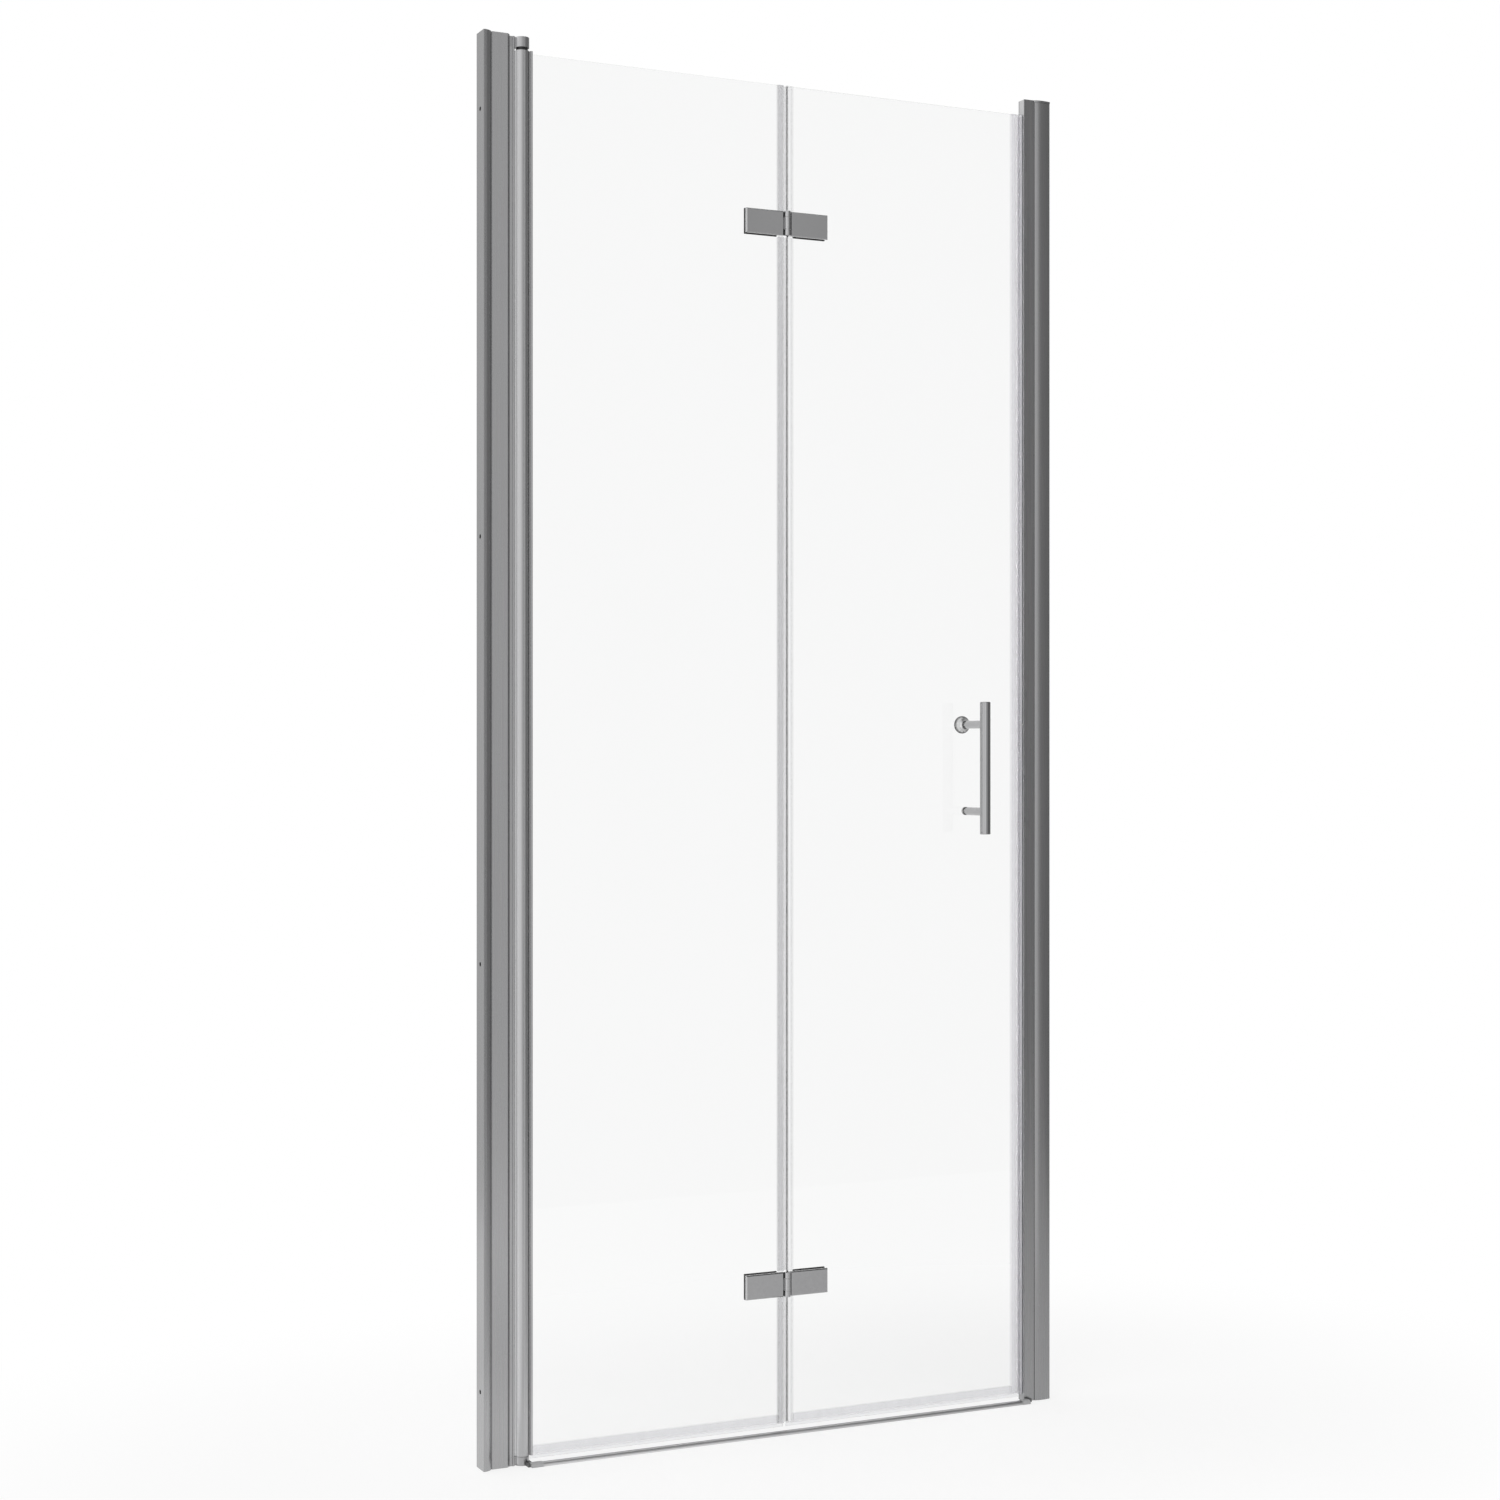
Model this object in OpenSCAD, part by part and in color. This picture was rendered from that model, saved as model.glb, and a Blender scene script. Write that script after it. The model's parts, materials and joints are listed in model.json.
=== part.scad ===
// Bifold shower door for a 900 mm opening. Two glass leaves are joined by a pair of fold hinges.
// The left leaf turns on a pole beside the left wall and rises a little as it opens.
// Millimetres. +Z is up, X runs along the door, and -Y is the outside, where the handle is.
// The origin is on the floor, on the turning axis of the pole.

/* [Opening] */
// Distance between the two finished walls
opening_w = 900; // [780:10:1000]
// Height of the wall channels
frame_h = 1950; // [1700:10:2100]
// Distance from the left wall to the turning axis of the pole
pole_inset = 60; // [56:1:66]
// Distance from the turning axis of the pole to the fold axis
fold_x = 401; // [340:1:440]

/* [Wall channels] */
// How far the left channel reaches from its wall
left_channel_d = 12.5; // [12:0.1:15]
// Radius of the left channel's curved flanges
left_channel_r = 16.8; // [16:0.2:24]
// How far the right channel reaches from its wall
right_channel_d = 26.4; // [25:0.2:32]
// Radius of the right channel's curved flanges between its lips and its thickest line
right_channel_r = 32; // [28:1:60]
// Radius of those flanges between the thickest line and the wall
right_channel_wall_r = 60; // [50:1:90]
// Distance from the right channel's lips to its thickest line
right_channel_peak = 10.6; // [9.6:0.1:13]
// Thickness of a channel's lips beside the sliding profile
lip_t = 2.4; // [2:0.1:2.8]
// Thickness of the curved flanges
channel_wall = 1.6; // [1.2:0.1:2]
// Thickness of the web that lies against the wall
channel_web = 2; // [1.6:0.1:3]
// Length of the solid land behind the lips, where the fixing screws sit
channel_land = 8.4; // [7.8:0.2:9]
// Radius of the holes for the wall screws
wall_hole_r = 3; // [2:0.25:3.5]
// Distance of the outermost wall holes from the channel's ends
wall_hole_inset = 105; // [60:5:160]
// Number of wall holes in each channel
wall_hole_count = 4; // [3:1:6]
// Thickness of the cap on the right channel
cap_t = 3; // [2:0.5:5]
// How far that cap stands out past the channel
cap_overhang = 0.9; // [0.4:0.1:1.5]

/* [Sliding profiles] */
// Thickness of the two profiles that slide in the wall channels
profile_t = 16; // [14:0.5:18]
// Wall thickness of the sliding profiles
profile_wall = 1.5; // [1.2:0.1:2]
// How much the sliding part of a profile is set back from its visible faces
slide_step = 1.6; // [1.2:0.1:2]
// Visible groove between the left channel's lips and the left profile's faces
left_groove = 1.6; // [1:0.1:2.4]
// Visible joint between the right channel's lips and the magnet profile's faces
right_groove = 0.3; // [0.2:0.1:1]
// Clearance between a sliding profile and its channel, each side
slide_gap = 0.1; // [0.05:0.05:0.2]
// Length of each sliding profile that is inside its channel
profile_overlap = 9.4; // [8:0.2:10.2]
// Distance from the pole's axis to the end of the left profile's flat face
left_face_edge = 23.3; // [21:0.1:26]
// Thickness of the tongue that closes on the pole
tongue_t = 8; // [7:0.5:9]
// Radius of the rounded rims along the tongue's end
rim_r = 1.7; // [1.4:0.1:2]
// Gap between the tongue's hollow end and the pole
cradle_gap = 2; // [1.6:0.1:2.4]
// Distance from the right wall to the face of the magnet profile
magnet_face = 44; // [42:1:60]
// Length of the magnet profile that is inside its channel
magnet_overlap = 22; // [14:1:23]

/* [Pole] */
// Outer radius of the pole
pole_r = 10; // [9:0.5:11]
// Radius of the bore along the pole
pole_bore_r = 6; // [5:0.25:6.5]
// How far the slot for the glass reaches into the pole
slot_bite = 2; // [1.5:0.25:2.25]
// How far the clamp on the glass stands out of the pole
clamp_len = 3.4; // [3:0.1:6]
// Thickness of each clamp arm at its outer bead
clamp_wall = 3.4; // [2.4:0.1:4]
// Thickness of each clamp arm beside the pole
neck_wall = 1; // [0.8:0.1:1.3]
// Length of the outer bead of a clamp arm
bead_len = 3.3; // [2.4:0.1:3.3]
// Clearance between the pole and the pivot block
pole_gap = 0.3; // [0.2:0.05:0.5]
// Thickness of the gasket between the pole and the glass
gasket_t = 0.6; // [0.4:0.1:1]

/* [Pivots and lift] */
// Height of the pivot block on the floor
block_h = 12; // [10:0.5:16]
// Height of the bracket at the top of the pole
bracket_h = 14; // [13:0.5:18]
// Distance from the bracket's top down from the top of the left profile
bracket_drop = 2; // [0.5:0.5:4]
// How far the leaves rise when the pole turns through 90 degrees
lift_travel = 3.5; // [3.5:0.5:4.5]
// Rise of the slanted cut across half the cam
cam_rise = 2.3; // [1.6:0.1:2.3]
// Height of the middle of the slanted cut above the pivot block
cam_mid = 12; // [8:0.5:20]
// Depth of the cam's seat in the pivot block
cam_seat = 8; // [6:0.5:9]
// Length of the cam that is fixed in the pole, above the slanted cut
follower_len = 26; // [15:1:40]
// Radius of the top pivot pin
pin_r = 4; // [3:0.25:4.5]
// Length of the pin that is inside the pole
pin_depth = 22; // [15:1:30]
// Radius of the black sleeve round the top pivot pin
sleeve_r = 8; // [7:0.25:8.5]
// Length of the sleeve that is inside the bracket at rest
sleeve_seat = 7; // [5:0.5:8]
// Length of the bush in the top of the pole
bush_len = 25; // [20:1:35]
// Radius of the bracket and block screws
arm_screw_r = 1.6; // [1.4:0.1:1.9]
// Radius of the heads of those screws
arm_head_r = 2.9; // [2.6:0.1:3.1]
// Length of the bracket and block screws below their heads
arm_screw_len = 24; // [20:1:35]

/* [Glass] */
// Thickness of the glass
glass_t = 6; // [5:0.5:8]
// Distance from the pivot block's top to the glass
glass_foot = 1; // [0.6:0.1:3]
// Distance from the top of the pole down to the top of the glass
glass_head = 3; // [1:0.5:10]
// Distance from the fold axis to the edge of the pole-side glass
fold_gap_pole = 5.3; // [5:0.1:7]
// Distance from the fold axis to the edge of the handle-side glass
fold_gap_handle = 3.6; // [3:0.1:5]

/* [Seals] */
// Wall thickness of the clip-on seals
seal_t = 1.1; // [0.8:0.1:1.5]
// Length of glass that an upright fold seal grips
fold_grip = 7; // [6:0.5:9]
// Width of the hollow bead on the handle-side fold seal
fold_bead = 2.7; // [2:0.1:2.8]
// Distance between the two fold seals' closing edges
fold_clear = 0.4; // [0.3:0.1:0.8]
// Length of glass that a bottom seal grips
bottom_grip = 11; // [8:0.5:15]
// Length of the lip below a bottom seal
lip_len = 5.6; // [4:0.1:6]
// Thickness of that lip
bottom_lip_t = 1.2; // [0.8:0.1:2]
// Length of glass that the magnet seal grips
magnet_grip = 9; // [7:0.5:14]
// Depth of the magnet seal's head, beyond the glass
magnet_head = 9.6; // [7:0.2:12]
// Half thickness of the magnet seal's head
magnet_head_half = 7.5; // [6:0.1:8]
// Gap between the magnet seal and the magnet profile
magnet_gap = 0.6; // [0.5:0.1:1]
// Thickness of the magnet strips
magnet_t = 2.4; // [1.8:0.1:3]
// Width of the magnet strip in the leaf
magnet_w = 7; // [5:0.5:9]
// Width of the magnet strip in the frame
frame_magnet_w = 13; // [9:0.5:13.5]

/* [Fold hinges] */
// Distance from the end of the glass to the middle of a hinge
hinge_inset = 198; // [120:2:300]
// Height of a hinge
hinge_h = 35; // [30:1:50]
// Distance from the fold axis to the end of a hinge plate
hinge_len = 65.1; // [56:0.1:75]
// Thickness of a hinge plate
plate_t = 4; // [3.5:0.25:5]
// Width of the bevel round a hinge plate
plate_bevel = 1.4; // [0.6:0.1:1.4]
// Thickness of the gasket between a hinge plate and the glass
hinge_gasket_t = 0.5; // [0.3:0.1:1]
// Outer radius of the hinge barrel
barrel_r = 4.6; // [4:0.1:5]
// Radius of the hinge pin
hinge_pin_r = 2.2; // [1.5:0.1:2.4]
// Height of the middle part of the barrel
knuckle_h = 17; // [14:0.5:20]
// Distance from the fold axis to the near end of a back plate
back_plate_inset = 14; // [13:0.5:20]
// How much further in than a front plate a back plate ends
back_plate_short = 2; // [1:0.5:4]
// Thickness of the gasket's rim round a back plate
gasket_rim_t = 0.7; // [0.5:0.1:0.8]
// Distance between the two screws of a hinge plate
hinge_screw_pitch = 20; // [14:1:22]
// Radius of the hinge screws
hinge_screw_r = 2; // [1.5:0.1:2.2]

/* [Handle] */
// Distance from the handle's axis to the closing edge of the leaf
handle_inset = 94.4; // [60:1:140]
// Height of the handle's middle above the floor
handle_z = 949; // [800:5:1150]
// How far the handle bar runs past each post's axis
bar_overhang = 33; // [20:1:80]
// Radius of the handle bar
bar_r = 7.75; // [6.5:0.25:9]
// Distance between the two handle posts
post_pitch = 128; // [96:4:140]
// Radius of the handle posts
post_r = 6; // [5:0.25:6.25]
// Distance from the face of the glass to the axis of the handle bar
handle_reach = 51; // [40:1:60]
// Thickness of the washers on both faces of the glass
washer_t = 1; // [0.6:0.1:2]
// Radius of the studs through the glass
stud_r = 3; // [2:0.25:3.5]
// Wall thickness of the bush round a stud in the glass
bush_wall = 1.9; // [1:0.1:2.5]
// Radius of the rim of the inner knob
knob_r = 13; // [11:0.5:16]
// Length of the inner knob
knob_len = 14.5; // [12:0.5:20]
// Length of the cap nut
nut_len = 6.2; // [5.5:0.1:9]

/* [Sill] */
// Distance from the middle of the glass to the back of the sill strip
sill_setback = 15.5; // [15:0.5:25]
// Width of the sill strip
sill_w = 9; // [7:0.5:14]
// Height of the sill strip
sill_h = 5.2; // [4:0.1:5.2]
// Radius of the rounded front edge of the sill strip
sill_round = 3.4; // [2:0.1:3.6]
// Distance from the pole's axis to the left end of the sill
sill_start = 5.4; // [4:0.2:10]
// How far the sill runs past the face of the magnet profile
sill_past = 1; // [0.5:0.5:10]
// Length of the sill's left end cap
left_end_cap_len = 17.5; // [14:0.5:30]
// Length of the sill's right end cap
right_end_cap_len = 13.5; // [10:0.5:30]
// Wall thickness of a sill end cap
end_cap_t = 0.6; // [0.4:0.1:0.6]
// Width of the pads that close the sill against the frame
pad_w = 8; // [6:0.5:12]
// Height of those pads
pad_h = 5; // [3:0.1:5.2]

/* [Hidden] */
$fn = 64;

// Small clearances: a part fixed in its seat, a shaft that runs in a bore, and a screw in its hole
seat_gap = 0.02;
run_gap = 0.05;
screw_gap = 0.15;
// How far a cutting shape runs past the surface that it cuts
over = 1;

// The two walls
wall_left_x = -pole_inset;
wall_right_x = opening_w - pole_inset;

// Wall channels: the slot between the lips, and the flanges' half thickness at its greatest
slide_half = profile_t / 2 - slide_step;
slot_half = slide_half + slide_gap;
lip_half = slot_half + lip_t;
left_channel_half = lip_half + left_channel_r - sqrt(pow(left_channel_r, 2) - pow(left_channel_d, 2));
right_channel_rise = right_channel_r - sqrt(pow(right_channel_r, 2) - pow(right_channel_peak, 2));
right_channel_half = lip_half + right_channel_rise;
wall_hole_pitch = (frame_h - 2 * wall_hole_inset) / (wall_hole_count - 1);

// Fixing screws, driven from the inside of the shower through a channel's back lip
fixing_seat = 3.1;
fixing_back = 4.4;
fixing_r = 1.6;
fixing_head_r = 3;
fixing_head_t = 2;
fixing_spot_r = fixing_head_r + 0.3;
fixing_inset = 75;
fixing_heights = [fixing_inset, frame_h / 2, frame_h - fixing_inset];

// Sliding profiles
left_lip_x = wall_left_x + left_channel_d;
left_profile_x = left_lip_x - profile_overlap;
shoulder = (profile_t - tongue_t) / 2;
tongue_x = shoulder - left_face_edge;
cradle_r = pole_r + cradle_gap;
rim_x = -(cradle_r + rim_r);
right_lip_x = wall_right_x - right_channel_d;
face_x = wall_right_x - magnet_face;
magnet_profile_end = right_lip_x + magnet_overlap;
rim_sink = 0.3;

// Prongs that hold the cap in the right channel
prong_t = 1;
prong_w = 10;
prong_h = 8;
prong_gap = 0.6;
cap_gap = 0.3;

// Pole and its clamp
slot_x = pole_r - slot_bite;
clamp_end = pole_r + clamp_len;
clamp_slot_half = glass_t / 2 + gasket_t;
pole_z0 = block_h + pole_gap;
top_gap = lift_travel + 0.5;
bracket_top = frame_h - bracket_drop;
bracket_z = bracket_top - bracket_h;
pole_z1 = bracket_z - top_gap;
pole_cam_r = pole_bore_r - run_gap;

// Screws along Z that hold the bracket and the block to the tongue
arm_screw_x = (tongue_x - cradle_r) / 2;
arm_head_t = 3;

// Lift cams
cam_z = block_h + cam_mid;
cam_angle = atan(cam_rise / pole_cam_r);
cam_face_gap = 0.1;

// Top pivot
sleeve_z0 = pole_z1 + 0.2;
sleeve_z1 = bracket_z + sleeve_seat;
sleeve_bore_z1 = sleeve_z1 + lift_travel + 0.6;
pin_z0 = pole_z1 - pin_depth;
pin_z1 = sleeve_z1 - 1.5;

// Glass
glass_z0 = block_h + glass_foot;
glass_z1 = pole_z1 - glass_head;
pole_glass_x0 = slot_x + gasket_t;
pole_glass_x1 = fold_x - fold_gap_pole;
handle_glass_x0 = fold_x + fold_gap_handle;
leaf_end_x = face_x - magnet_gap;
handle_glass_x1 = leaf_end_x - magnet_head;

// Fold hinges
hinge_low_z = glass_z0 + hinge_inset;
hinge_high_z = glass_z1 - hinge_inset;
plate_y = -(glass_t / 2 + hinge_gasket_t);
fold_y = plate_y - plate_t;
plate_start = barrel_r + 0.9;
// The webs that carry the barrel stand back from the plates' faces by the width of the bevel
web_t = plate_t - plate_bevel;
// Pads under the front plates end just clear of the turning barrel, so they close the slits beside it
pad_end = sqrt(max(0, pow(barrel_r + fold_clear, 2) - pow(plate_t, 2)));
back_plate_end = hinge_len - back_plate_short;
tray_step = 0.2;
pin_inset = 0.2;
hex_socket_r = 1.2;
hinge_screw_x = (back_plate_inset + back_plate_end) / 2;
hinge_screw_zs = [-hinge_screw_pitch / 2, hinge_screw_pitch / 2];
glass_hole_r = hinge_screw_r + 2;
washer_seat = 0.5;
hinge_head_t = 1.8;
hinge_head_r = hinge_screw_r + hinge_head_t;
thread_depth = plate_t - 0.8;

// Seals
seal_half = glass_t / 2 + seal_t;
seal_z0 = block_h;
seal_z1 = glass_z1;
hinge_cut = hinge_h / 2 + 1;
fold_seal_pole_x1 = pole_glass_x1 + seal_t;
fold_seal_handle_x0 = handle_glass_x0 - seal_t - fold_bead;
magnet_clip_x0 = handle_glass_x1 - magnet_grip;
magnet_pocket = 0.1;

// Handle
handle_x = leaf_end_x - handle_inset;
bar_len = post_pitch + 2 * bar_overhang;
bar_y = -(glass_t / 2 + handle_reach);
bar_flat_y = bar_y + sqrt(pow(bar_r, 2) - pow(post_r, 2)) + 0.2;
post_y0 = -(glass_t / 2 + washer_t);
post_zs = [handle_z - post_pitch / 2, handle_z + post_pitch / 2];
bush_r = stud_r + run_gap + bush_wall;
handle_hole_r = bush_r + run_gap;
back_y0 = glass_t / 2 + washer_t;
stud_in_post = 14;
stud_tip = 1.5;
bar_bevel = 0.7;

// Sill
sill_x0 = sill_start;
sill_x1 = face_x + sill_past;
sill_front_y = -(sill_setback + sill_w);
cap_back_y = -(sill_setback - end_cap_t);
strip_inset = 3;
pad_out = 5;

// Extrudes a drawing in Y and Z along X, from x = 0
module along_x(length) {
  rotate([90, 0, 90]) linear_extrude(length) children();
}

// A cylinder along Y, from y = 0 towards +Y
module rod_y(r, length) {
  rotate([-90, 0, 0]) cylinder(r = r, h = length);
}

// A stretch of a wall channel's outline, between flanges of radius r that are thickest at x = 0
module channel_arc(x0, x1, half, r) {
  intersection() {
    translate([0, r - half]) circle(r, $fn = 180);
    translate([0, half - r]) circle(r, $fn = 180);
    translate([x0, -half]) square([x1 - x0, 2 * half]);
  }
}

// The outline of a wall channel, with its thickest line at x = 0. Past that line the radius is wall_r.
module channel_outline(lip_end, wall_end, half, r, wall_r) {
  passes = lip_end * wall_end < 0;
  split = passes ? 0 : wall_end;
  channel_arc(min(lip_end, split), max(lip_end, split), half, r);
  if (passes) channel_arc(min(0, wall_end), max(0, wall_end), half, wall_r);
}

// One wall channel: wall face at x = wall_x, lips at x = lip_x, thickest line at x = peak_x
module wall_channel(wall_x, lip_x, peak_x, half, r, wall_r, height) {
  side = sign(lip_x - wall_x);
  web_x = wall_x + side * channel_web;
  land_x = lip_x - side * channel_land;
  difference() {
    linear_extrude(height) difference() {
      translate([peak_x, 0]) channel_outline(lip_x - peak_x, wall_x - peak_x, half, r, wall_r);
      translate([min(web_x, lip_x + side * over), -slot_half])
        square([abs(lip_x + side * over - web_x), 2 * slot_half]);
      translate([peak_x, 0])
        channel_outline(land_x - peak_x, web_x - peak_x, half - channel_wall, r - channel_wall,
                        wall_r - channel_wall);
    }
    for (i = [0 : wall_hole_count - 1])
      translate([wall_x, 0, wall_hole_inset + i * wall_hole_pitch]) rotate([0, 90, 0])
        cylinder(r = wall_hole_r, h = 2 * (channel_web + over), center = true);
    for (z = fixing_heights) translate([lip_x - side * fixing_back, 0, z]) {
      translate([0, slot_half - over, 0]) rod_y(fixing_r + screw_gap, half);
      translate([0, slot_half + fixing_seat, 0]) rod_y(fixing_spot_r, half);
    }
  }
}

// A row of pan-head screws through a channel's back lip into the sliding profile
module fixing_screws(x) {
  color("silver") for (z = fixing_heights) translate([x, 0, z]) {
    translate([0, slide_half - profile_wall - 2, 0])
      rod_y(fixing_r, slot_half + fixing_seat - slide_half + profile_wall + 2);
    translate([0, slot_half + fixing_seat, 0]) difference() {
      union() {
        rod_y(fixing_head_r, fixing_head_t * 0.6);
        translate([0, fixing_head_t * 0.6, 0]) rotate([-90, 0, 0])
          cylinder(r1 = fixing_head_r, r2 = fixing_head_r * 0.75, h = fixing_head_t * 0.4);
      }
      for (turn = [0, 90]) rotate([0, turn, 0])
        translate([-fixing_r, fixing_head_t / 2, -0.35]) cube([2 * fixing_r, fixing_head_t, 0.7]);
    }
  }
}

module left_wall_channel() {
  color("gainsboro")
    wall_channel(wall_left_x, left_lip_x, wall_left_x, left_channel_half, left_channel_r,
                 left_channel_r, frame_h);
}

module right_wall_channel() {
  color("gainsboro")
    wall_channel(wall_right_x, right_lip_x, right_lip_x + right_channel_peak,
                 right_channel_half, right_channel_r, right_channel_wall_r, frame_h - cap_t);
}

// Holes for the fixing screws in the back wall of a sliding profile
module fixing_holes(x) {
  for (z = fixing_heights)
    translate([x, slide_half - profile_wall - over, z]) rod_y(fixing_r + run_gap, profile_wall + 2 * over);
}

// The tongue's outline beside the pole: a flat web with a rounded rim along each face
module tongue_plan() {
  translate([tongue_x, -tongue_t / 2]) square([rim_x - tongue_x, tongue_t]);
  translate([rim_x - over, rim_r - tongue_t / 2]) square([over - rim_x, tongue_t - 2 * rim_r]);
  for (side = [-1, 1]) translate([rim_x, side * (tongue_t / 2 - rim_sink)]) circle(rim_r);
}

module left_sliding_profile() {
  half = profile_t / 2;
  face_x0 = left_lip_x + left_groove;
  color("silver") difference() {
    linear_extrude(frame_h) difference() {
      union() {
        polygon([[face_x0, -half], [-left_face_edge, -half], [tongue_x, -tongue_t / 2],
                 [tongue_x, tongue_t / 2], [-left_face_edge, half], [face_x0, half]]);
        translate([left_profile_x, -slide_half]) square([face_x0 - left_profile_x + over, 2 * slide_half]);
        tongue_plan();
      }
      circle(cradle_r);
      translate([left_profile_x - over, profile_wall - slide_half])
        square([-left_face_edge - profile_wall - left_profile_x + over, 2 * (slide_half - profile_wall)]);
      translate([arm_screw_x, 0]) circle(arm_screw_r + run_gap);
    }
    for (z = [-over, bracket_z]) translate([tongue_x, -half - over, z])
      cube([over - tongue_x, profile_t + 2 * over, (z < 0 ? block_h : frame_h - bracket_z) + over]);
    fixing_holes(left_lip_x - fixing_back);
  }
}

module left_fixing_screws() { fixing_screws(left_lip_x - fixing_back); }

module right_fixing_screws() { fixing_screws(right_lip_x + fixing_back); }

// The plan of the bracket and the block: a round end in line with the pole and an arm like the tongue
module pivot_plan() {
  circle(pole_r);
  tongue_plan();
}

module top_bracket() {
  bevel = 1.2;
  color("silver") difference() {
    union() {
      translate([0, 0, bracket_z]) linear_extrude(bracket_h) difference() {
        pivot_plan();
        circle(pole_r - over);
      }
      translate([0, 0, bracket_z]) cylinder(r = pole_r, h = bracket_h - bevel);
      translate([0, 0, bracket_top - bevel]) cylinder(r1 = pole_r, r2 = pole_r - bevel, h = bevel);
    }
    translate([0, 0, bracket_z - over])
      cylinder(r = sleeve_r + run_gap, h = sleeve_bore_z1 - bracket_z + over);
    translate([arm_screw_x, 0, bracket_z - over])
      cylinder(r = arm_screw_r + screw_gap, h = bracket_h + 2 * over);
    translate([arm_screw_x, 0, bracket_top - arm_head_t])
      cylinder(r = arm_head_r + screw_gap, h = arm_head_t + over);
  }
}

// A cap-head screw along Z. Its head is at z = 0, and its shank runs down.
module arm_screw() {
  color("dimgray") difference() {
    union() {
      translate([0, 0, -arm_screw_len]) cylinder(r = arm_screw_r, h = arm_screw_len);
      cylinder(r = arm_head_r, h = arm_head_t - 0.3);
    }
    translate([0, 0, 1.2]) cylinder(r = 1.6, h = arm_head_t, $fn = 6);
  }
}

module top_bracket_screw() { translate([arm_screw_x, 0, bracket_top - arm_head_t]) arm_screw(); }

module pivot_block() {
  color("silver") difference() {
    linear_extrude(block_h) pivot_plan();
    translate([0, 0, block_h - cam_seat]) cylinder(r = pole_cam_r + seat_gap, h = cam_seat + over);
    translate([arm_screw_x, 0, -over]) cylinder(r = arm_screw_r + screw_gap, h = block_h + 2 * over);
    translate([arm_screw_x, 0, -over]) cylinder(r = arm_head_r + screw_gap, h = arm_head_t + over);
  }
}

module pivot_block_screw() { translate([arm_screw_x, 0, arm_head_t]) rotate([180, 0, 0]) arm_screw(); }

// A half space above a slanted plane through [0, 0, z]
module above_slant(z) {
  size = 8 * pole_r;
  translate([0, 0, z]) rotate([0, -cam_angle, 0]) translate([-size / 2, -size / 2, 0]) cube(size);
}

module lower_lift_cam() {
  color("white") difference() {
    translate([0, 0, block_h - cam_seat])
      cylinder(r = pole_cam_r, h = cam_seat + cam_mid + cam_rise + over);
    above_slant(cam_z);
  }
}

module upper_lift_cam() {
  color("white") intersection() {
    translate([0, 0, block_h]) cylinder(r = pole_bore_r - seat_gap, h = cam_mid + follower_len);
    above_slant(cam_z + cam_face_gap);
  }
}

module right_channel_cap() {
  x0 = right_lip_x - cap_overhang;
  peak_x = right_lip_x + right_channel_peak;
  corner = 1.2;
  edge_half = lip_half + cap_overhang - corner;
  color("gainsboro") {
    translate([0, 0, frame_h - cap_t]) linear_extrude(cap_t) {
      translate([peak_x, 0])
        channel_outline(x0 + corner - peak_x, wall_right_x - peak_x, right_channel_half + cap_overhang,
                        right_channel_r + cap_overhang, right_channel_wall_r + cap_overhang);
      translate([x0, -edge_half]) square([corner + over, 2 * edge_half]);
      for (side = [-1, 1]) translate([x0 + corner, side * edge_half]) circle(corner);
    }
    for (side = [-1, 1])
      translate([right_lip_x + channel_land + prong_gap,
                 side * (slot_half + cap_gap + prong_t / 2) - prong_t / 2, frame_h - cap_t - prong_h])
        cube([prong_w, prong_t, prong_h + over / 2]);
  }
}

module magnet_profile() {
  half = profile_t / 2;
  face_t = magnet_t + profile_wall;
  color("silver") difference() {
    translate([face_x, 0, 0]) linear_extrude(frame_h) difference() {
      union() {
        translate([0, -half]) square([right_lip_x - right_groove - face_x, profile_t]);
        translate([over, -slide_half]) square([magnet_profile_end - face_x - over, 2 * slide_half]);
      }
      translate([face_t, profile_wall - slide_half])
        square([magnet_profile_end - face_x, 2 * (slide_half - profile_wall)]);
      translate([-over, -frame_magnet_w / 2 - magnet_pocket])
        square([magnet_t + magnet_pocket + over, frame_magnet_w + 2 * magnet_pocket]);
    }
    translate([right_lip_x - cap_overhang - cap_gap, -half - over, frame_h - cap_t])
      cube([right_channel_d, profile_t + 2 * over, cap_t + over]);
    fixing_holes(right_lip_x + fixing_back);
  }
}

module frame_magnet_strip() {
  color("whitesmoke") translate([face_x + magnet_pocket, -frame_magnet_w / 2, 0])
    cube([magnet_t, frame_magnet_w, frame_h]);
}

// The section of the sill strip in Y and Z, grown by a margin on every side but the bottom
module sill_section(margin) {
  r = sill_round + margin;
  h = sill_h + margin;
  w = sill_w + 2 * margin;
  translate([sill_front_y - margin, 0]) {
    square([w, h - r]);
    translate([r, 0]) square([w - r, h]);
    translate([r, h - r]) circle(r);
  }
}

module sill_strip() {
  color("silver") translate([sill_x0 + strip_inset, 0, 0]) along_x(sill_x1 - sill_x0 - 2 * strip_inset)
    intersection() {
      sill_section(0);
      translate([sill_front_y, 0]) square([sill_w, sill_h]);
    }
}

// A cap over the end of the sill strip. Its closed end is at x = 0 and it runs towards +X.
module sill_end_cap(length) {
  color("darkgray") difference() {
    along_x(length) intersection() {
      sill_section(end_cap_t);
      translate([sill_front_y - end_cap_t, 0]) square([sill_w + 2 * end_cap_t, sill_h + end_cap_t]);
    }
    translate([strip_inset, 0, 0]) along_x(length) translate([0, -over]) union() {
      translate([0, over]) sill_section(run_gap);
      translate([sill_front_y - run_gap, 0]) square([sill_w + 2 * run_gap, 2 * over]);
    }
  }
}

module sill_end_cap_left() { translate([sill_x0, 0, 0]) sill_end_cap(left_end_cap_len); }

module sill_end_cap_right() {
  translate([sill_x1, 0, 0]) mirror([1, 0, 0]) sill_end_cap(right_end_cap_len);
}

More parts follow.
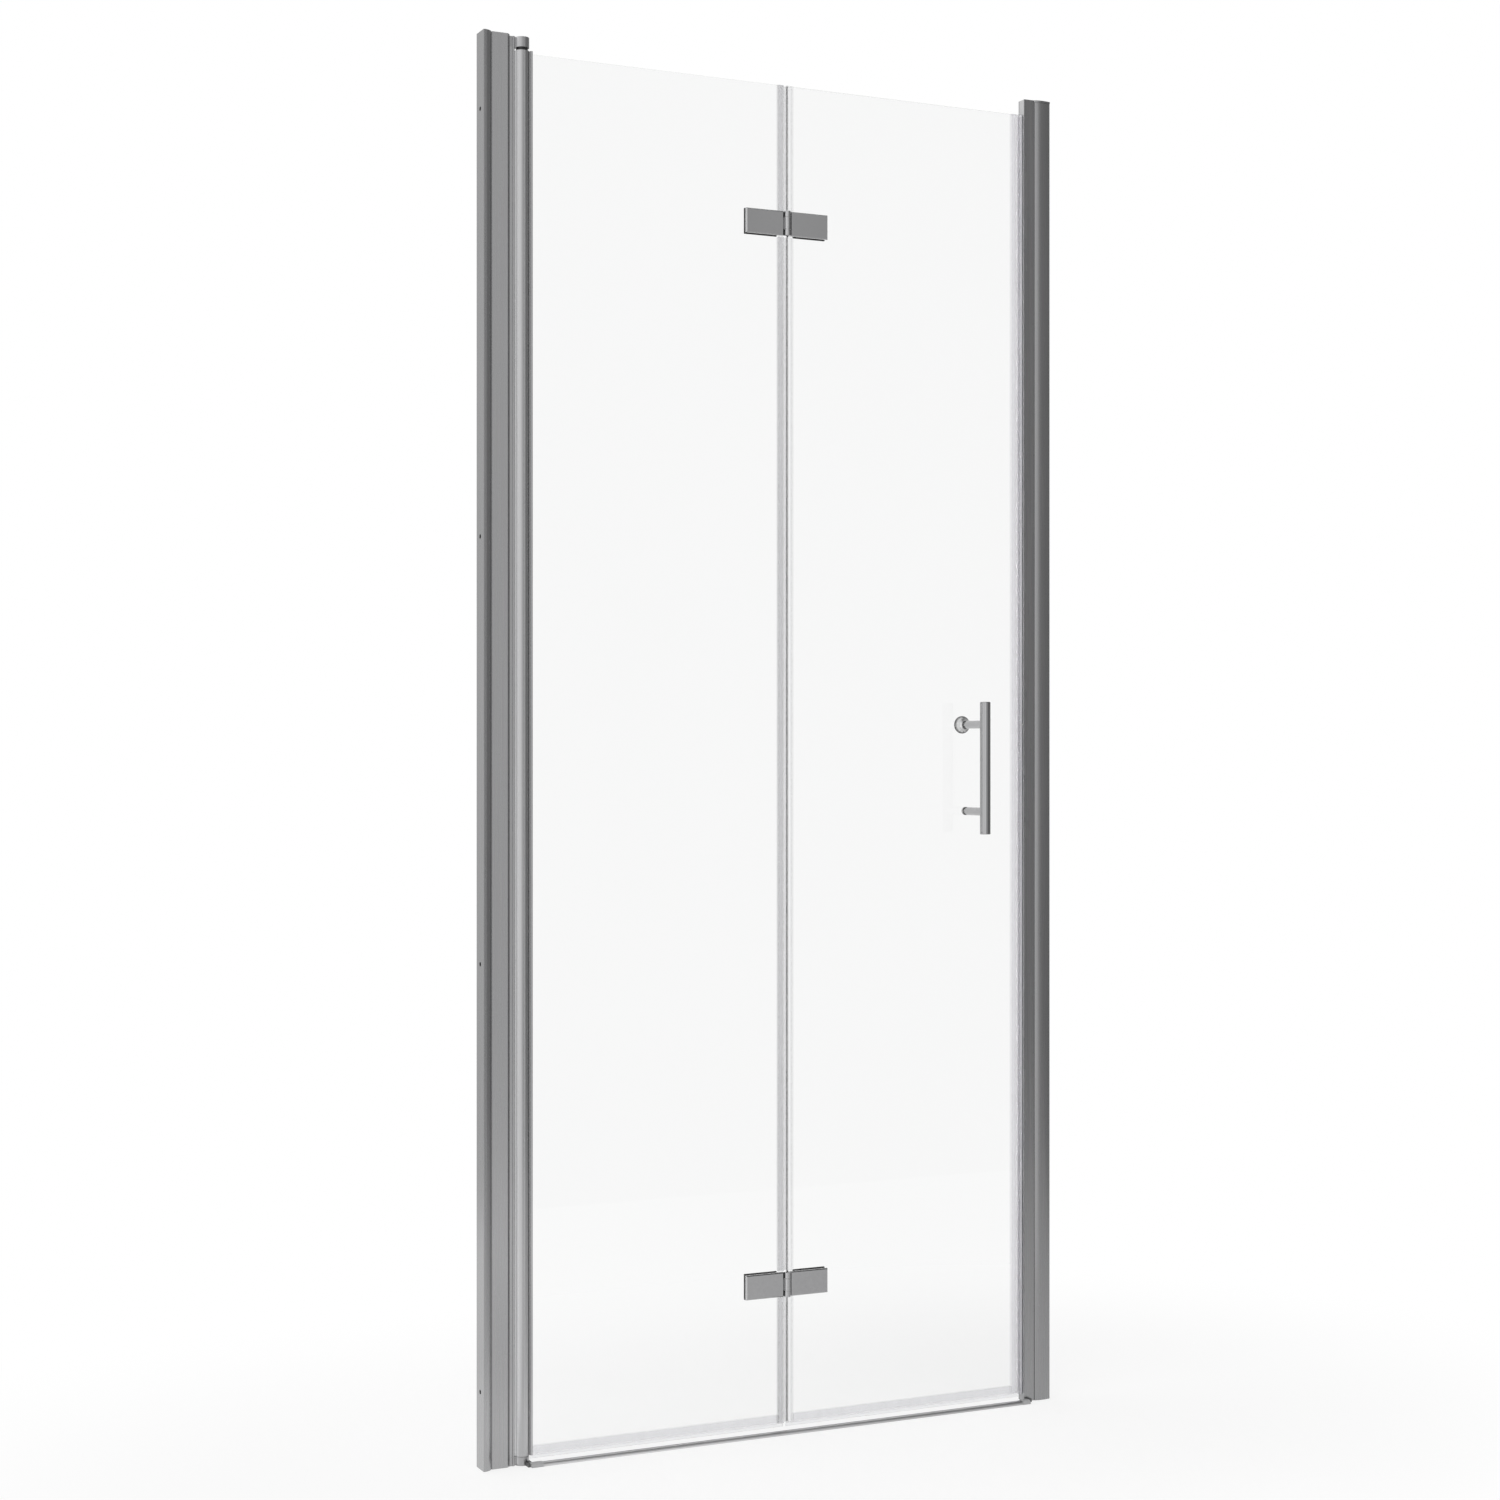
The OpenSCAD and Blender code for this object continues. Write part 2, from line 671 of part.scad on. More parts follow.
module sill_pad_left() {
  x0 = sill_x0 - 3.5;
  color("black") difference() {
    translate([x0, cap_back_y - pad_out, 0]) cube([pad_w, pad_out - cap_back_y, pad_h]);
    translate([sill_x0 - seat_gap, cap_back_y - pad_out - over, -over])
      cube([pad_w, pad_out + over, pad_h + 2 * over]);
    translate([0, 0, -over]) cylinder(r = pole_r + 0.1, h = pad_h + 2 * over);
  }
}

module sill_pad_right() {
  color("black") translate([face_x, cap_back_y, 0])
    cube([pad_w + sill_past, -cap_back_y - profile_t / 2, pad_h]);
}

module pivot_sleeve() {
  color("black") translate([0, 0, sleeve_z0]) difference() {
    cylinder(r = sleeve_r, h = sleeve_z1 - sleeve_z0);
    translate([0, 0, -over]) cylinder(r = pin_r + seat_gap, h = pin_z1 - sleeve_z0 + over);
  }
}

module pivot_pin() {
  color("lightgray") translate([0, 0, pin_z0]) {
    translate([0, 0, 1]) cylinder(r = pin_r, h = pin_z1 - pin_z0 - 1);
    cylinder(r1 = pin_r - 1, r2 = pin_r, h = 1);
  }
}

module pole() {
  color("silver") translate([0, 0, pole_z0]) linear_extrude(pole_z1 - pole_z0) difference() {
    union() {
      circle(pole_r);
      translate([0, -clamp_slot_half - neck_wall])
        square([clamp_end, 2 * (clamp_slot_half + neck_wall)]);
      translate([clamp_end - bead_len, -clamp_slot_half - clamp_wall])
        square([bead_len, 2 * (clamp_slot_half + clamp_wall)]);
    }
    circle(pole_bore_r);
    translate([slot_x, -clamp_slot_half]) square([clamp_end - slot_x + over, 2 * clamp_slot_half]);
  }
}

module pole_bush() {
  color("white") translate([0, 0, pole_z1 - bush_len]) difference() {
    cylinder(r = pole_bore_r - seat_gap, h = bush_len);
    translate([0, 0, -over]) cylinder(r = pin_r + run_gap, h = bush_len + 2 * over);
  }
}

module glazing_gasket() {
  bead = gasket_t;
  color("gray") translate([0, 0, glass_z0]) linear_extrude(glass_z1 - glass_z0) difference() {
    union() {
      translate([slot_x, -clamp_slot_half]) square([clamp_end - slot_x + bead, 2 * clamp_slot_half]);
      translate([clamp_end, -clamp_slot_half - bead]) square([bead, 2 * (clamp_slot_half + bead)]);
    }
    translate([pole_glass_x0, -glass_t / 2]) square([clamp_end - pole_glass_x0 + 2 * bead, glass_t]);
  }
}

// A pane of glass from x0 to x1, with the screw holes of two hinges on the given side of the fold
module pane(x0, x1, side) {
  difference() {
    translate([x0, -glass_t / 2, glass_z0]) cube([x1 - x0, glass_t, glass_z1 - glass_z0]);
    for (z = [hinge_low_z, hinge_high_z], dz = hinge_screw_zs)
      translate([fold_x + side * hinge_screw_x, -glass_t, z + dz]) rod_y(glass_hole_r, 2 * glass_t);
  }
}

module pole_glass() {
  color("lightcyan", 0.4) pane(pole_glass_x0, pole_glass_x1, -1);
}

module handle_glass() {
  color("lightcyan", 0.4) difference() {
    pane(handle_glass_x0, handle_glass_x1, 1);
    for (z = post_zs) translate([handle_x, -glass_t, z]) rod_y(handle_hole_r, 2 * glass_t);
  }
}

// The lengths of an upright fold seal: below, between and above the two hinges
module between_hinges() {
  ends = [[seal_z0, hinge_low_z - hinge_cut], [hinge_low_z + hinge_cut, hinge_high_z - hinge_cut],
          [hinge_high_z + hinge_cut, seal_z1]];
  for (e = ends) translate([0, 0, e[0]]) linear_extrude(e[1] - e[0]) children();
}

module fold_seal_pole() {
  fin_x1 = fold_seal_handle_x0 - fold_clear;
  color("whitesmoke", 0.6) between_hinges() {
    difference() {
      translate([pole_glass_x1 - fold_grip, -seal_half]) square([fold_grip + seal_t, 2 * seal_half]);
      translate([pole_glass_x1 - fold_grip - over, -glass_t / 2]) square([fold_grip + over, glass_t]);
    }
    translate([pole_glass_x1 + seal_t / 2, glass_t / 2 - seal_t])
      square([fin_x1 - pole_glass_x1 - seal_t / 2, seal_t / 2]);
  }
}

module fold_seal_handle() {
  hollow = fold_bead - seal_t / 2;
  color("whitesmoke", 0.6) between_hinges() difference() {
    translate([fold_seal_handle_x0, -seal_half])
      square([fold_grip + seal_t + fold_bead, 2 * seal_half]);
    translate([handle_glass_x0, -glass_t / 2]) square([fold_grip + over, glass_t]);
    translate([handle_glass_x0 - seal_t - hollow, -glass_t / 2]) square([hollow, glass_t]);
  }
}

// A bottom seal: its clip runs from x0 to x1 and its lip from lip_x0 to lip_x1
module bottom_seal(x0, x1, lip_x0, lip_x1) {
  lip_z = seal_z0 - lip_len;
  color("whitesmoke", 0.6) {
    translate([x0, 0, 0]) along_x(x1 - x0) {
      difference() {
        translate([-seal_half, seal_z0]) square([2 * seal_half, glass_z0 - seal_z0 + bottom_grip]);
        translate([-glass_t / 2, glass_z0]) square([glass_t, bottom_grip + over]);
      }
      translate([glass_t / 2, seal_z0 - lip_len / 2]) square([seal_t, lip_len / 2 + glass_foot / 2]);
    }
    translate([lip_x0, -bottom_lip_t / 2, lip_z]) cube([lip_x1 - lip_x0, bottom_lip_t, lip_len]);
    translate([x0, -bottom_lip_t / 2, lip_z]) cube([x1 - x0, bottom_lip_t, lip_len + glass_foot / 2]);
  }
}

module bottom_seal_pole() {
  bottom_seal(clamp_end + 2 * gasket_t, pole_glass_x1 - fold_grip - fold_clear,
              pole_r + 2, fold_seal_pole_x1);
}

module bottom_seal_handle() {
  bottom_seal(handle_glass_x0 + fold_grip + fold_clear, magnet_clip_x0 - fold_clear,
              fold_seal_handle_x0, leaf_end_x - magnet_t);
}

module magnet_seal() {
  head_x = handle_glass_x1 + seal_t;
  bevel = 1;
  half = magnet_head_half;
  pocket_x = leaf_end_x - magnet_t - 2 * magnet_pocket - 0.7;
  color("lavender", 0.8) translate([0, 0, seal_z0]) linear_extrude(seal_z1 - seal_z0) difference() {
    union() {
      translate([magnet_clip_x0, -seal_half]) square([magnet_grip + seal_t, 2 * seal_half]);
      polygon([[head_x - 0.4, -seal_half], [head_x + bevel, -half], [leaf_end_x - bevel, -half],
               [leaf_end_x, bevel - half], [leaf_end_x, half - bevel], [leaf_end_x - bevel, half],
               [head_x + bevel, half], [head_x - 0.4, seal_half]]);
    }
    translate([magnet_clip_x0 - over, -glass_t / 2]) square([magnet_grip + over, glass_t]);
    translate([pocket_x, -magnet_w / 2 - magnet_pocket])
      square([magnet_t + 2 * magnet_pocket, magnet_w + 2 * magnet_pocket]);
    translate([head_x + 0.8, -glass_t / 2]) square([pocket_x - head_x - 1.6, glass_t]);
  }
}

module leaf_magnet_strip() {
  color("whitesmoke") translate([leaf_end_x - magnet_t - magnet_pocket - 0.7, -magnet_w / 2, seal_z0])
    cube([magnet_t, magnet_w, seal_z1 - seal_z0]);
}

// A bevelled plate from x0 to x1. Its glass side is at y = 0 and its face at y = -plate_t.
module plate(x0, x1) {
  b = plate_bevel;
  t = plate_t;
  half = hinge_h / 2;
  intersection() {
    linear_extrude(hinge_h, center = true)
      polygon([[x0, 0], [x0, b - t], [x0 + b, -t], [x1 - b, -t], [x1, b - t], [x1, 0]]);
    translate([x0, 0, 0]) along_x(x1 - x0)
      polygon([[0, -half], [b - t, -half], [-t, b - half], [-t, half - b], [b - t, half], [0, half]]);
  }
}

// Moves its children to a hinge: x = 0 on the fold axis, y = 0 on the plate's glass side
module at_hinge(z) { translate([fold_x, plate_y, z]) children(); }

// Blind threaded holes in a front plate, on its glass side
module thread_holes(side) {
  for (dz = hinge_screw_zs) translate([side * hinge_screw_x, -thread_depth, dz])
    rod_y(hinge_screw_r + run_gap, thread_depth + over);
}

module hinge_front_pole(z) {
  color("silver") at_hinge(z) difference() {
    union() {
      mirror([1, 0, 0]) plate(plate_start, hinge_len);
      translate([-plate_start - over, -web_t, -knuckle_h / 2]) cube([plate_start + over, web_t, knuckle_h]);
      translate([0, -plate_t, -knuckle_h / 2]) cylinder(r = barrel_r, h = knuckle_h);
    }
    translate([0, -plate_t, -hinge_h]) cylinder(r = hinge_pin_r + seat_gap, h = 2 * hinge_h);
    thread_holes(-1);
  }
}

module hinge_front_handle(z) {
  part_h = (hinge_h - knuckle_h) / 2 - washer_seat;
  color("silver") at_hinge(z) difference() {
    union() {
      plate(plate_start, hinge_len);
      for (z0 = [-hinge_h / 2, knuckle_h / 2 + washer_seat]) translate([0, 0, z0]) {
        translate([0, -web_t, 0]) cube([plate_start + over, web_t, part_h]);
        translate([0, -plate_t, 0]) cylinder(r = barrel_r, h = part_h);
      }
    }
    translate([0, -plate_t, -hinge_h]) cylinder(r = hinge_pin_r + run_gap, h = 2 * hinge_h);
    thread_holes(1);
  }
}

module hinge_back(side, z) {
  x0 = side > 0 ? back_plate_inset : -back_plate_end;
  x1 = side > 0 ? back_plate_end : -back_plate_inset;
  color("silver") translate([fold_x, -plate_y, z]) difference() {
    mirror([0, 1, 0]) plate(x0, x1);
    for (dz = hinge_screw_zs) translate([side * hinge_screw_x, -over, dz]) {
      rod_y(hinge_screw_r + screw_gap, plate_t + 2 * over);
      translate([0, over + plate_t - hinge_head_t, 0]) rotate([-90, 0, 0])
        cylinder(r1 = hinge_screw_r + screw_gap, r2 = hinge_head_r + screw_gap, h = hinge_head_t);
    }
  }
}

// Gaskets of both hinges: a pad under each front plate, and a tray that holds each back plate by its sides
module hinge_gaskets(side) {
  x_front = side > 0 ? pad_end : -hinge_len;
  x_back = side > 0 ? back_plate_inset : -back_plate_end;
  pad_h = hinge_h - 1;
  tray_y = hinge_gasket_t + plate_t - plate_bevel - tray_step;
  tray_side = gasket_rim_t + run_gap;
  color("dimgray") for (z = [hinge_low_z, hinge_high_z]) difference() {
    union() {
      translate([fold_x + x_front, plate_y, z - pad_h / 2])
        cube([hinge_len - pad_end, hinge_gasket_t, pad_h]);
      translate([fold_x + x_back - tray_side, glass_t / 2, z - hinge_h / 2 - tray_side])
        cube([back_plate_end - back_plate_inset + 2 * tray_side, tray_y, hinge_h + 2 * tray_side]);
    }
    translate([fold_x + x_back - run_gap, -plate_y, z - hinge_h / 2 - run_gap])
      cube([back_plate_end - back_plate_inset + 2 * run_gap, plate_t + over, hinge_h + 2 * run_gap]);
    for (dz = hinge_screw_zs) translate([fold_x + side * hinge_screw_x, -glass_t, z + dz])
      rod_y(hinge_screw_r + screw_gap, 2 * glass_t);
  }
}

// Countersunk screws from the back plates into the front plates
module hinge_screws(side) {
  shank = -2 * plate_y + plate_t - hinge_head_t + thread_depth - 0.4;
  head_y = -plate_y + plate_t - hinge_head_t;
  color("lightgray") for (z = [hinge_low_z, hinge_high_z], dz = hinge_screw_zs)
    translate([fold_x + side * hinge_screw_x, head_y, z + dz]) difference() {
      union() {
        translate([0, -shank, 0]) rod_y(hinge_screw_r, shank);
        rotate([-90, 0, 0]) cylinder(r1 = hinge_screw_r, r2 = hinge_head_r, h = hinge_head_t - 0.05);
      }
      translate([0, hinge_head_t * 0.4, 0]) rotate([-90, 0, 0])
        cylinder(r = hex_socket_r, h = hinge_head_t, $fn = 6);
    }
}

module hinge_pin(z) {
  color("lightgray") translate([fold_x, fold_y, z - hinge_h / 2 + pin_inset])
    cylinder(r = hinge_pin_r, h = hinge_h - 2 * pin_inset);
}

module hinge_washers() {
  t = washer_seat - 0.1;
  color("white") for (z = [hinge_low_z, hinge_high_z], side = [-1, 1])
    translate([fold_x, fold_y, z + side * (knuckle_h + washer_seat) / 2 - t / 2]) difference() {
      cylinder(r = barrel_r - pin_inset, h = t);
      translate([0, 0, -over]) cylinder(r = hinge_pin_r + run_gap, h = t + 2 * over);
    }
}

module handle_bar() {
  color("silver") difference() {
    translate([handle_x, bar_y, handle_z - bar_len / 2]) {
      cylinder(r1 = bar_r - bar_bevel, r2 = bar_r, h = bar_bevel);
      translate([0, 0, bar_bevel]) cylinder(r = bar_r, h = bar_len - 2 * bar_bevel);
      translate([0, 0, bar_len - bar_bevel]) cylinder(r1 = bar_r, r2 = bar_r - bar_bevel, h = bar_bevel);
    }
    for (z = post_zs) translate([handle_x, bar_flat_y, z]) rod_y(post_r + run_gap, bar_r);
  }
}

module handle_post(z) {
  color("silver") translate([handle_x, bar_flat_y, z]) difference() {
    rod_y(post_r, post_y0 - bar_flat_y);
    translate([0, post_y0 - bar_flat_y - stud_in_post - stud_tip, 0])
      rod_y(stud_r + seat_gap, stud_in_post + stud_tip + over);
  }
}

// Black washers on both faces of the glass, at both posts
module handle_washers() {
  color("black") for (z = post_zs, y = [post_y0, glass_t / 2]) translate([handle_x, y, z]) difference() {
    rod_y(post_r, washer_t);
    translate([0, -over, 0]) rod_y(stud_r + run_gap, washer_t + 2 * over);
  }
}

module handle_bushes() {
  color("white") for (z = post_zs) translate([handle_x, -glass_t / 2, z]) difference() {
    rod_y(bush_r, glass_t);
    translate([0, -over, 0]) rod_y(stud_r + run_gap, glass_t + 2 * over);
  }
}

// A stud from inside a post to the given depth in the part behind the glass
module handle_stud(z, depth) {
  color("lightgray") translate([handle_x, post_y0 - stud_in_post, z])
    rod_y(stud_r, stud_in_post + back_y0 - post_y0 + depth);
}

module inner_knob() {
  neck_r = post_r;
  neck = 1.5;
  rim = 2.2;
  crown = 1.7;
  flare = knob_len - rim - crown;
  steps = 8;
  // A flared outline: a short neck, a hollow cone to the rim, and a shallow crown
  flare_points = [for (i = [0 : steps])
    [neck_r + (knob_r - neck_r) * (1 - cos(i * 90 / steps)), neck + (flare - neck) * i / steps]];
  color("silver") translate([handle_x, back_y0, post_zs[1]]) rotate([-90, 0, 0]) difference() {
    rotate_extrude($fn = 96) polygon(concat([[0, 0], [neck_r, 0]], flare_points,
      [[knob_r, flare + rim], [knob_r - 1, flare + rim + crown / 2], [knob_r / 2, knob_len - crown / 8],
       [0, knob_len]]));
    translate([0, 0, -over]) cylinder(r = stud_r + seat_gap, h = knob_len * 0.6 + over);
  }
}

module cap_nut() {
  flat = nut_len * 0.45;
  color("silver") translate([handle_x, back_y0, post_zs[0]]) rotate([-90, 0, 0]) difference() {
    union() {
      cylinder(r = post_r, h = flat);
      translate([0, 0, flat]) cylinder(r1 = post_r, r2 = post_r * 0.8, h = (nut_len - flat) * 0.6);
      translate([0, 0, flat + (nut_len - flat) * 0.6])
        cylinder(r1 = post_r * 0.8, r2 = post_r * 0.4, h = (nut_len - flat) * 0.4);
    }
    translate([0, 0, -over]) cylinder(r = stud_r + seat_gap, h = nut_len - 1.2 + over);
  }
}

left_wall_channel();
left_sliding_profile();
left_fixing_screws();
top_bracket();
top_bracket_screw();
pivot_block();
pivot_block_screw();
lower_lift_cam();
right_wall_channel();
right_channel_cap();
magnet_profile();
frame_magnet_strip();
right_fixing_screws();
sill_strip();
sill_end_cap_left();
sill_end_cap_right();
sill_pad_left();
sill_pad_right();
pivot_sleeve();
pivot_pin();
pole();
pole_bush();
upper_lift_cam();
glazing_gasket();
pole_glass();
fold_seal_pole();
bottom_seal_pole();
hinge_front_pole(hinge_high_z);  // hinge_front_pole_upper
hinge_front_pole(hinge_low_z);  // hinge_front_pole_lower
hinge_back(-1, hinge_high_z);  // hinge_back_pole_upper
hinge_back(-1, hinge_low_z);  // hinge_back_pole_lower
hinge_gaskets(-1);  // hinge_gaskets_pole
hinge_screws(-1);  // hinge_screws_pole
hinge_pin(hinge_high_z);  // hinge_pin_upper
hinge_pin(hinge_low_z);  // hinge_pin_lower
hinge_washers();
handle_glass();
fold_seal_handle();
bottom_seal_handle();
magnet_seal();
leaf_magnet_strip();
hinge_front_handle(hinge_high_z);  // hinge_front_handle_upper
hinge_front_handle(hinge_low_z);  // hinge_front_handle_lower
hinge_back(1, hinge_high_z);  // hinge_back_handle_upper
hinge_back(1, hinge_low_z);  // hinge_back_handle_lower
hinge_gaskets(1);  // hinge_gaskets_handle
hinge_screws(1);  // hinge_screws_handle
handle_bar();
handle_post(post_zs[1]);  // handle_post_upper
handle_post(post_zs[0]);  // handle_post_lower
handle_washers();
handle_bushes();
handle_stud(post_zs[1], knob_len * 0.55);  // handle_stud_upper
handle_stud(post_zs[0], nut_len - 1.8);  // handle_stud_lower
inner_knob();
cap_nut();
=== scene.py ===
"""Looks for the bifold shower door: finishes, soft edges, light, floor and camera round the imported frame."""
import json
import math

import bpy
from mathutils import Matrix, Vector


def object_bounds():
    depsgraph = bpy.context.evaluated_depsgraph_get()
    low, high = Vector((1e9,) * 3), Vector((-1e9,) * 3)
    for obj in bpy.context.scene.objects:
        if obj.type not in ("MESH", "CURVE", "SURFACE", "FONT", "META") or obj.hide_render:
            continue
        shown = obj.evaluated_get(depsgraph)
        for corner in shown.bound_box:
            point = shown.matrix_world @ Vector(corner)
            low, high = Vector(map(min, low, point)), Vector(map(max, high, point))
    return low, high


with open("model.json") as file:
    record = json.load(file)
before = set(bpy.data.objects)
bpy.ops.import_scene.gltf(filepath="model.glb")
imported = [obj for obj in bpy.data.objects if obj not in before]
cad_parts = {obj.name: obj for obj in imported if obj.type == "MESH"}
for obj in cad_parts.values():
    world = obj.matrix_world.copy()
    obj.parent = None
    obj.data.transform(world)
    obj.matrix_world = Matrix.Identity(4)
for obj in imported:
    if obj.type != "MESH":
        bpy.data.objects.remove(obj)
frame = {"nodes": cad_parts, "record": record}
cad_low, cad_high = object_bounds()
nodes = frame["nodes"]
MM = 0.001

# Camera: its place in the row frame in metres, how far it turns from +Y towards +X, and its lens and the
# height of its horizon in pixels of the square frame
CAMERA_PLACE = (-1.2148, -3.2796, 0.9751)
CAMERA_YAW = math.radians(25.4376)
FRAME_PX = 1500.0
FOCAL_PX = 2550.0
HORIZON_PX = 750.3
SENSOR_MM = 36.0
VIEW_REACH = 100.0

# Light paths that clear glass and seals in front of each other need
TRANSPARENT_BOUNCES = 32
BOUNCES = 24

# Light: what the room shows to each heading, from -Y (0 degrees) towards +X, as (degrees, brightness),
# and how that changes with height, from the floor (-90 degrees) to the ceiling (90 degrees)
ROOM = [(-180, 0.68), (-160, 0.7), (-140, 0.9), (-120, 1.1), (-95, 1.3), (-45, 1.3), (-20, 0.98), (-8, 0.79),
        (2, 0.56), (12, 0.46), (22, 0.38), (31, 0.31), (60, 0.27), (100, 0.36), (150, 0.55), (180, 0.68)]
HEIGHTS = [(-90, 1.0), (35, 1.0), (60, 0.6), (90, 0.4)]
WHITE = 1.0

# Tall light cards in front of the door: their plane, their lower and upper ends, and for each the x of its
# middle, its width and its radiance
CARD_Y = -1.0
CARD_ENDS_Z = (0.03, 2.45)
CARDS = [(0.34, 0.3, 0.54), (0.9, 0.32, 0.3)]

# A strip lamp in the gap between the left profile and the pole, for the pole's shaded side: its distance
# from the pole, its place in depth, its width, how far its ends stay inside the door's, and its radiance
STRIP_GAP = 1.8 * MM
STRIP_Y = -1.0 * MM
STRIP_WIDTH = 12.5 * MM
STRIP_END = 1.0 * MM
STRIP_RADIANCE = 0.86

# Floor: half the length of its side, and how far it lies below the door
FLOOR_REACH = 1.8
FLOOR_DROP = 0.6 * MM
FLOOR_COLOUR = 0.9

# How bright metal sees the floor: (x, brightness) across the door. Behind the door it fades to a share
# between two ys. In front of it a gain fades in between two ys, and it fades out to the right between two xs
FLOOR_IN_METAL = [(-0.5, 1.3), (-0.22, 1.2), (-0.15, 0.85), (0.0, 0.85), (0.1, 1.0), (1.1, 0.66)]
FLOOR_BEHIND_Y = (0.1, 0.6)
FLOOR_BEHIND_SHARE = 0.62
FLOOR_NEAR_Y = (-0.5, -0.2)
FLOOR_NEAR_X = (0.2, 0.6)
FLOOR_NEAR_GAIN = 1.3

# The door's shadow: how much of the lit floor shows through the white at the door, the distances from the
# door between which that fades to none, and the glow that brings the lit floor outside the shadow to white
SHADE_SHARE = 0.3
SHADE_REACH = (0.25, 1.0)
LIT_GLOW = 0.32


# ---------------------------------------------------------------- node helpers

class Tree:
    """A node tree being filled, with short calls for the nodes used here."""

    def __init__(self, tree):
        self.tree = tree
        tree.nodes.clear()

    def add(self, kind, **inputs):
        node = self.tree.nodes.new(kind)
        for name, value in inputs.items():
            self.feed(node.inputs[name.replace("_", " ")], value)
        return node

    def feed(self, socket, value):
        if isinstance(value, bpy.types.NodeSocket):
            self.tree.links.new(value, socket)
        else:
            socket.default_value = value

    def math(self, operation, a, b=0.0):
        node = self.tree.nodes.new("ShaderNodeMath")
        node.operation = operation
        self.feed(node.inputs[0], a)
        self.feed(node.inputs[1], b)
        return node.outputs[0]

    def product(self, a, b):
        return self.math("MULTIPLY", a, b)

    def largest(self, a, b):
        return self.math("MAXIMUM", a, b)

    def ramp(self, factor, stops):
        """A colour that follows factor through stops, which are (place, colour)."""
        node = self.tree.nodes.new("ShaderNodeValToRGB")
        self.feed(node.inputs[0], factor)
        elements = node.color_ramp.elements
        while len(elements) > 1:
            elements.remove(elements[-1])
        elements[0].position = stops[0][0]
        elements[0].color = stops[0][1]
        for place, colour in stops[1:]:
            elements.new(place).color = colour
        return node.outputs[0]

    def curve(self, value, stops):
        """A brightness that follows value through stops, which are (value, brightness). It is scaled to the
        ramp's limit of 1 and back."""
        first, last = stops[0][0], stops[-1][0]
        brightest = max(level for _, level in stops)
        shares = [((at - first) / (last - first), grey(level / brightest)) for at, level in stops]
        return self.product(self.ramp(self.map_range(value, first, last, 0.0, 1.0), shares), brightest)

    def map_range(self, value, from_low, from_high, to_low, to_high, smooth=False):
        node = self.tree.nodes.new("ShaderNodeMapRange")
        if smooth:
            node.interpolation_type = "SMOOTHSTEP"
        for name, number in (("Value", value), ("From Min", from_low), ("From Max", from_high),
                             ("To Min", to_low), ("To Max", to_high)):
            self.feed(node.inputs[name], number)
        return node.outputs["Result"]

    def object_place(self, scale, shift=(0.0, 0.0, 0.0)):
        """The object's own coordinates, scaled and then shifted."""
        coord = self.add("ShaderNodeTexCoord")
        mapping = self.add("ShaderNodeMapping", Vector=coord.outputs["Object"])
        mapping.inputs["Scale"].default_value = scale
        mapping.inputs["Location"].default_value = shift
        return mapping.outputs[0]

    def noise(self, scale, stretch, detail):
        """Noise on the object's own coordinates, with features of about 1/scale metres times stretch."""
        place = self.object_place([scale / s for s in stretch])
        return self.add("ShaderNodeTexNoise", Vector=place, Scale=1.0, Detail=detail).outputs[0]

    def mix_shader(self, factor, a, b):
        node = self.add("ShaderNodeMixShader")
        self.feed(node.inputs[0], factor)
        self.tree.links.new(a, node.inputs[1])
        self.tree.links.new(b, node.inputs[2])
        return node.outputs[0]


def grey(value):
    return (value, value, value, 1.0)


def shade(colour, factor):
    return tuple(min(1.0, c * factor) for c in colour) + (1.0,)


# ---------------------------------------------------------------- finishes

# How the texture of a finish stretches, and its relief
EVEN = (1, 1, 1)
LONG_X = (60, 1, 1)
LONG_Z = (1, 1, 60)
SHORT_Y = (1, 20, 1)
SHORT_Z = (1, 1, 20)
FINE = 0.01 * MM
COARSE = 0.02 * MM

# The values of the noise between which a finish varies, its detail, and how much finer the relief is
PATCHES = (0.3, 0.7)
PATCH_DETAIL = 3.0
RELIEF_DETAIL = 2.0
RELIEF_FINER = 6
RELIEF_STRENGTH = 0.5

# Painted shade round the knob's outline: where the darkening starts and where it is full, in radii, and how
# much of the colour is left
RIM_START = 0.8
RIM_FULL = 0.88
PAINTED_RIM_SHADE = 0.42

SATIN = (0.38, 0.38, 0.385)
SMOOTH = (0.42, 0.42, 0.425)
POLISHED = (0.68, 0.68, 0.685)
CHROME = (0.34, 0.34, 0.345)
GREY_COATING = (0.36, 0.36, 0.365)


def painted_rim_shade(t, obj):
    """The share of its colour that a piece round an axis along y keeps, less near its outline: painted shade
    for a dark rim.
    """
    low, high = obj.bound_box[0], obj.bound_box[6]
    radius = (high[0] - low[0]) / 2
    from_axis = t.object_place((1.0, 0.0, 1.0), (-(low[0] + high[0]) / 2, 0.0, -(low[2] + high[2]) / 2))
    distance = t.add("ShaderNodeVectorMath")
    distance.operation = "LENGTH"
    t.feed(distance.inputs[0], from_axis)
    return t.map_range(distance.outputs["Value"], RIM_START * radius, RIM_FULL * radius, 1.0, PAINTED_RIM_SHADE, True)


